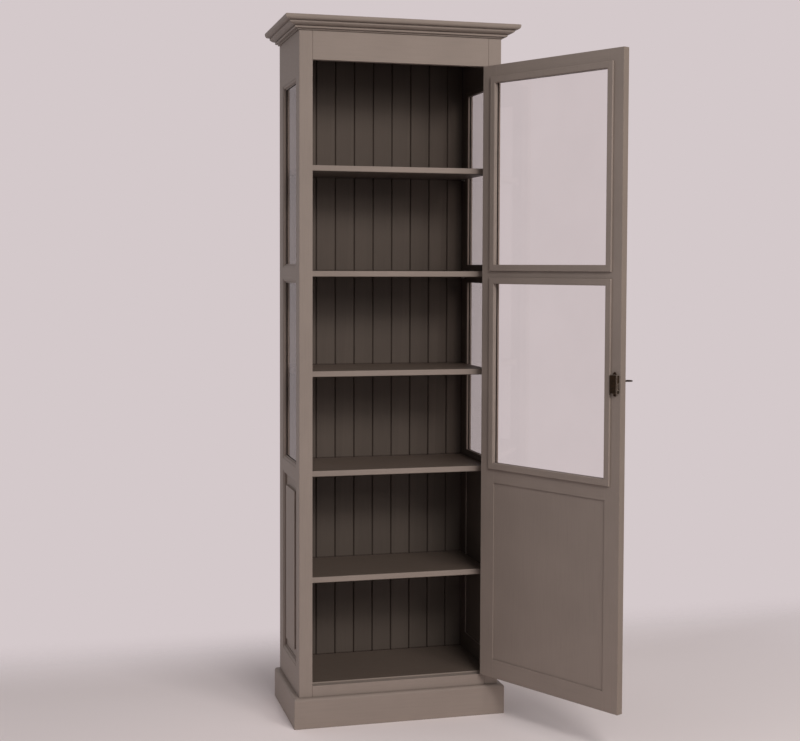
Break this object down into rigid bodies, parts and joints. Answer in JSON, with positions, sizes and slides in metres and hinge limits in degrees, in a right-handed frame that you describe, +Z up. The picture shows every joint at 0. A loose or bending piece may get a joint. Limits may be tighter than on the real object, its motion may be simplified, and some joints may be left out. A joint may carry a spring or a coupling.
{
  "type": "bookcase",
  "caption": "Tall narrow painted bookcase with glazed sides, shelves on pins, a moulded cornice and plinth, and a glazed and panelled door on the right with a lock and key, standing open",
  "frame": {"origin": "on the floor, midway across the cabinet, in the plane of the face frame's front; the plinth stands on it", "axes": "+Z up, the longest way; +X to the right seen from the front; +Y from the front to the back"},
  "size_m": [0.9087, 0.8183, 2.1],
  "materials": {
    "paint": "satin grey-taupe paint on wood",
    "door_paint": "satin grey-taupe paint on wood",
    "inside_paint": "the same paint, darker inside the cabinet",
    "glass": "clear float glass, 3 mm",
    "tape": "dark matt foam glazing tape",
    "iron": "blackened brown iron, lightly worn",
    "steel": "plain steel"
  },
  "bodies": {
    "cabinet": {"plinth_front": "paint", "plinth_left": "paint", "plinth_right": "paint", "top_board": "paint", "cornice_front": "paint", "cornice_left": "paint", "cornice_right": "paint", "face_rail_bottom": "paint", "face_rail_top": "paint", "face_stile_left": "paint", "face_stile_right": "paint", "side_left_rail_bottom": "paint", "side_left_rail_lower": "paint", "side_left_rail_middle": "paint", "side_left_rail_top": "paint", "side_left_stile_front": "paint", "side_left_stile_rear": "paint", "side_left_beads": "paint", "side_left_panel": "paint", "side_right_rail_bottom": "paint", "side_right_rail_lower": "paint", "side_right_rail_middle": "paint", "side_right_rail_top": "paint", "side_right_stile_front": "paint", "side_right_stile_rear": "paint", "side_right_beads": "paint", "side_right_panel": "paint", "shelf_1": "inside_paint", "shelf_2": "inside_paint", "shelf_3": "inside_paint", "shelf_4": "inside_paint", "shelf_5": "inside_paint", "floor_panel": "inside_paint", "floor_cleats": "inside_paint", "back_boards": "inside_paint", "back_rail": "inside_paint", "side_left_glass": "glass", "side_right_glass": "glass", "side_left_tape": "tape", "side_right_tape": "tape", "hinge_leaves_cabinet": "steel", "hinge_pins": "steel", "screws_cabinet": "steel", "shelf_pins": "steel"},
    "door": {"door_rail_bottom": "door_paint", "door_rail_lower": "door_paint", "door_rail_middle": "door_paint", "door_rail_top": "door_paint", "door_stile_lock": "door_paint", "door_stile_hinge": "door_paint", "door_beads": "door_paint", "door_panel": "door_paint", "door_glass": "glass", "door_tape": "tape", "hinge_leaves_door": "steel", "screws_door": "steel", "lock_case": "iron", "escutcheon": "iron"},
    "key": {"key": "iron"},
    "lock_bolt": {"lock_bolt": "iron"}
  },
  "joints": [
    {"name": "door_hinge", "type": "hinge", "parent": "cabinet", "child": "door", "pos_m": [0.269, -0.0004, 1.05], "axis": [0, 0, 1], "range_deg": [-117.6, 60.4]},
    {"name": "key_turn", "type": "hinge", "parent": "door", "child": "key", "pos_m": [0.50863, -0.45964, 1.057], "axis": [-0.8862, -0.4633, 0], "range_deg": [0, 180]},
    {"name": "bolt_slide", "type": "slide", "parent": "door", "child": "lock_bolt", "axis": [0.4633, -0.8862, 0], "range_m": [0, 0.01]}
  ],
  "couplings": [
    {"joint": "bolt_slide", "follows": "key_turn", "m_per_rad": 0.003183}
  ]
}
